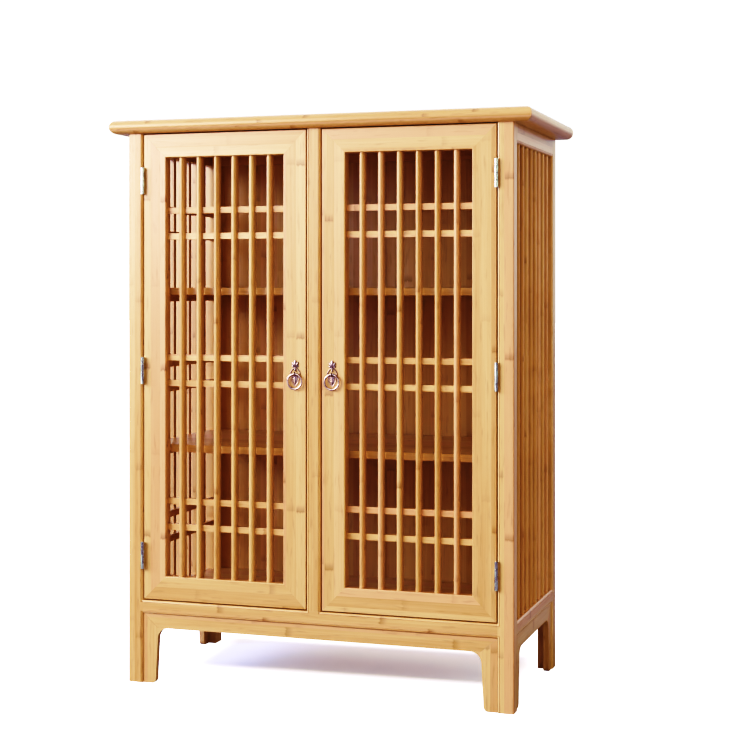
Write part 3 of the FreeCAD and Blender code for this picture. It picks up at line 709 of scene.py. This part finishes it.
def hinges():
    """Hinge leaves with their knuckles and screws, and the pins with their rounded ends."""
    frame_leaves = Fitting()
    pins = Fitting()
    reach = hinge_height / 2
    cap = pin_radius / 2
    pin = turned([(0, -reach - cap), (pin_radius, -reach - cap / 3), (pin_radius, reach + cap / 3),
                  (0, reach + cap)])
    for side_sign, side_name in ((-1, "left"), (1, "right")):
        door_leaves = Fitting()
        for centre in hinge_centres:
            for fitting, first, bore in ((frame_leaves, 0, pin_radius), (door_leaves, 1, bore_radius)):
                hinge_knuckles(fitting, side_sign, centre, first, bore)
                hinge_leaf(fitting, side_sign, centre, first)
            pins.put(pin, (-side_sign * hinge_axis[0], hinge_axis[1], centre))
        door_leaves.finish(side_name + "_door_butt_leaves", steel, side_name + "_door", "hinge_steel",
                           (side_name + "_door_hinge_leaves",))
    frame_leaves.finish("frame_butt_leaves", steel, "carcass", "hinge_steel", ("hinge_frame_leaves",))
    pins.finish("butt_pins", steel, "carcass", "hinge_steel", ("hinge_pins",))


def pull_ornament():
    """Bud, pear-shaped loop, hanging drop, leaf and the eye that carries the ring."""
    ornament = Fitting()
    petal = turned(petal_profile, 20)
    for x, z, lean, size, behind in petal_places:
        for sign in (-1, 1)[:1 + bool(x)]:
            ornament.put(petal, (sign * x, ornament_depth + behind, z), (0, sign * lean, 0),
                         (size, size * petal_flatness, size))
    collar = round_wire(bud_collar_radius, bud_collar_wire, 20, 8)
    ornament.put(collar, (0, ornament_depth, bud_collar_height), (0, 0, 0), (1, bud_flatness, 1))
    loop_line = loop_top + loop_side + loop_foot + [(-x, z) for x, z in reversed(loop_side)]
    ornament.put(bent_wire(loop_line, loop_wire, True), (0, ornament_depth + loop_behind, 0))
    drop = turned(drop_profile, 16)
    ornament.put(drop, (0, ornament_depth - drop_ahead, drop_height), (0, 0, 0), (1, bud_flatness, 1))
    leaf = turned(leaf_profile)
    ornament.put(leaf, (0, ornament_depth + leaf_behind, leaf_height), (0, 0, 0), (1, leaf_flatness, 1))
    ornament.put(round_wire(eye_radius, eye_wire, 28, 10), (0, 0, 0), (0, 90, 0))
    return ornament


def leaf_ribs():
    """Rim, midrib and slanting ribs of the openwork leaf inside the ring."""
    ribs = Fitting()
    ribs.put(bent_wire(midrib_line, midrib_wire, False), (0, ornament_depth - midrib_ahead, 0))
    middle_fall, end_fall = rib_fall_shares
    for sign in (-1, 1):
        rim = [(sign * x, z) for x, z in leaf_rim]
        ribs.put(bent_wire(rim, leaf_rim_wire, False), (0, ornament_depth, 0))
        for top, reach in leaf_rib_tops:
            middle = (sign * reach / 2, top - reach * middle_fall)
            rib = [(0, top), middle, (sign * reach, top - reach * end_fall)]
            ribs.put(bent_wire(rib, rib_wire, False), (0, ornament_depth - rib_ahead, 0))
    return ribs


def pull_ring():
    """A wire ring with a small collar on each side of its eye."""
    ring = Fitting()
    ring.put(round_wire(ring_radius, ring_wire, 56, 14), (0, 0, -ring_radius), (90, 0, 0))
    shoulder = ring_collar * ring_collar_shoulder_share
    end, edge = ring_collar_profile
    collar = turned([(0, -end), (shoulder, -edge), (ring_collar, 0), (shoulder, edge), (0, end)], 18)
    for angle in ring_collar_angles:
        turn = math.radians(angle)
        place = (ring_radius * math.sin(turn), 0, ring_radius * math.cos(turn) - ring_radius)
        ring.put(collar, place, (0, 90 + angle, 0))
    return ring


def pulls():
    ornament = pull_ornament()
    ribs = leaf_ribs()
    ring = pull_ring()
    for name, mirror in (("left", False), ("right", True)):
        ornament.finish(name + "_pull_ornament", dark_bronze, name + "_door", "pull_bronze",
                        (name + "_pull_plate",), mirror, pull_pivot)
        # The ribs take the paler rose bronze partly as their own metal and partly as painted highlights
        # along the dark leaf
        ribs.finish(name + "_pull_leaf_ribs", rose_bronze, name + "_door", "pull_bronze", (), mirror,
                    pull_pivot)
        ring.finish(name + "_pull_wire_ring", rose_bronze, name + "_ring", "pull_bronze",
                    (name + "_pull_ring",), mirror, pull_pivot)


def catch_fittings():
    """Steel strips of the magnetic catches, and the screws of their strike plates."""
    low, high = (Vector(corner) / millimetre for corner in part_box("magnetic_catches"))
    middle_z = (low.z + high.z) / 2
    strips = Fitting()
    half = catch_strip_thickness / 2
    for centre in (-catch_centre, catch_centre):
        span_x = (centre - catch_strip_half, centre + catch_strip_half)
        for offset in catch_strip_offsets:
            span_z = (middle_z + offset - half, middle_z + offset + half)
            strips.put(flat_bar(span_x, (low.y - catch_strip_proud, low.y + half), span_z,
                                catch_strip_rounding))
    strips.finish("catch_strips", steel, "carcass", "hinge_steel")
    for name in ("left", "right"):
        low, high = (Vector(corner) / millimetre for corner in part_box(name + "_door_strike_plate"))
        heads = Fitting()
        for share in strike_screw_shares:
            x = low.x + share * (high.x - low.x)
            heads.put(screw, (x, high.y + screw_proud, (low.z + high.z) / 2), (-90, 0, 0))
        heads.finish(name + "_strike_screws", steel, name + "_door", "hinge_steel")


steel = metal("hinge_steel", steel_colour, steel_roughness, steel_scale)
dark_bronze = metal("pull_dark_bronze", dark_bronze_colour, dark_bronze_roughness, dark_bronze_scale)
rose_bronze = metal("pull_rose_bronze", rose_bronze_colour, rose_bronze_roughness, rose_bronze_scale)
catch_brown = plastic("catch_plastic", catch_colour)
screw = screw_head()


def dress_fittings():
    for node in ("left_door_strike_plate", "right_door_strike_plate"):
        dress(node, steel, strike_softness)
    dress("magnetic_catches", catch_brown, catch_softness)


def light(name, place, size, power, colour, sheen_only):
    """A soft square lamp that faces the middle of the cabinet; a sheen lamp shows only in gloss."""
    lamp = bpy.data.lights.new(name, "AREA")
    lamp.shape = "SQUARE"
    lamp.size = size
    lamp.energy = power
    lamp.color = colour
    holder = bpy.data.objects.new(name, lamp)
    holder.location = place
    aim = Vector(lamp_aim) - Vector(place)
    holder.rotation_euler = aim.to_track_quat("-Z", "Y").to_euler()
    holder.visible_diffuse = not sheen_only
    bpy.context.scene.collection.objects.link(holder)


def paper_floor():
    """White paper that shows the soft shadow under the cabinet, and glows white beyond it: painted light
    that hides the rest of its cast shadow.
    """
    shape = bmesh.new()
    bmesh.ops.create_grid(shape, x_segments=1, y_segments=1, size=floor_reach)
    mesh = bpy.data.meshes.new("floor")
    shape.to_mesh(mesh)
    shape.free()
    floor = bpy.data.objects.new("floor", mesh)
    bpy.context.scene.collection.objects.link(floor)
    material = bpy.data.materials.new("floor_paper")
    material.use_nodes = True
    tree = material.node_tree
    tree.nodes.clear()
    where = add(tree, "TexCoord").outputs["Object"]
    moved = {"Vector": where, "Location": shadow_centre, "Rotation": (0, 0, shadow_turn)}
    centred = add(tree, "Mapping", moved, vector_type="TEXTURE").outputs[0]
    beyond = add(tree, "VectorMath", {0: centred}, operation="ABSOLUTE").outputs[0]
    beyond = add(tree, "VectorMath", {0: beyond, 1: shadow_half}, operation="SUBTRACT").outputs[0]
    beyond = add(tree, "VectorMath", {0: beyond, 1: (0, 0, 0)}, operation="MAXIMUM").outputs[0]
    away = add(tree, "VectorMath", {0: beyond}, operation="LENGTH").outputs["Value"]
    # Painted glow: the paper gives off white light outside the shadow area, so its cast shadow shows
    # only there
    white = fade(tree, away, 0.0, shadow_blur, 0.0, paper_glow)
    glow = add(tree, "Emission", {"Color": (1, 1, 1, 1), "Strength": white})
    # Only the camera sees this brighter, lavender paper, so the shadow on it is painted lavender
    lit = add(tree, "BsdfDiffuse", {"Color": paper_lit})
    seen = add(tree, "AddShader", {0: glow.outputs[0], 1: lit.outputs[0]})
    bounced = add(tree, "BsdfDiffuse", {"Color": paper_bounced})
    # Painted glow of the paper as gloss sees it, stronger away from the shadow
    sheen = fade(tree, away, 0.0, paper_sheen_spread, *paper_sheen_strengths)
    mirrored = add(tree, "Emission", {"Color": paper_sheen, "Strength": sheen})
    either = by_ray(tree, bounced, mirrored, seen)
    add(tree, "OutputMaterial", {"Surface": either.outputs[0]})
    mesh.materials.append(material)


def sky():
    """White where the camera sees past the cabinet, warm light all round it, and walls for its gloss."""
    world = bpy.data.worlds.new("sky")
    bpy.context.scene.world = world
    world.use_nodes = True
    tree = world.node_tree
    tree.nodes.clear()
    seen = add(tree, "Background", {"Color": (1, 1, 1, 1), "Strength": room_white})
    direction = add(tree, "SeparateXYZ", {0: add(tree, "TexCoord").outputs["Generated"]}).outputs
    around = fade(tree, direction["Y"], *room_edge, *room_strengths)
    lit = add(tree, "Background", {"Color": room_colour, "Strength": around})
    behind = fade(tree, direction["Y"], *back_wall_edge, 0.0, back_wall_strength)
    beside = fade(tree, direction["X"], *left_wall_edge, 0.0, left_wall_strength)
    back_wall = add(tree, "Background", {"Color": back_wall_colour, "Strength": behind})
    left_wall = add(tree, "Background", {"Color": left_wall_colour, "Strength": beside})
    walls = add(tree, "AddShader", {0: back_wall.outputs[0], 1: left_wall.outputs[0]})
    either = by_ray(tree, lit, walls, seen)
    add(tree, "OutputWorld", {"Surface": either.outputs[0]})


def camera():
    lens = bpy.data.cameras.new("camera")
    lens.lens = camera_lens
    lens.shift_y = camera_shift_up
    holder = bpy.data.objects.new("camera", lens)
    holder.location = camera_place
    holder.rotation_euler = (math.radians(90), 0, math.radians(camera_turn))
    bpy.context.scene.collection.objects.link(holder)
    bpy.context.scene.camera = holder


def film():
    """Prints the picture with deep shadows and soft highlights."""
    view = bpy.context.scene.view_settings
    view.view_transform = "Standard"
    view.use_curve_mapping = True
    mapping = view.curve_mapping
    mapping.white_level = (white_level, white_level, white_level)
    for curve, tones in zip(mapping.curves, curve_tones):
        for light_in, tone_out in zip(curve_lights, tones):
            curve.points.new(light_in / white_level, tone_out)
    mapping.update()


film()
dress_wood()
dress_fittings()
hinges()
pulls()
catch_fittings()
paper_floor()
sky()
for lamp in lamps:
    light(*lamp)
camera()
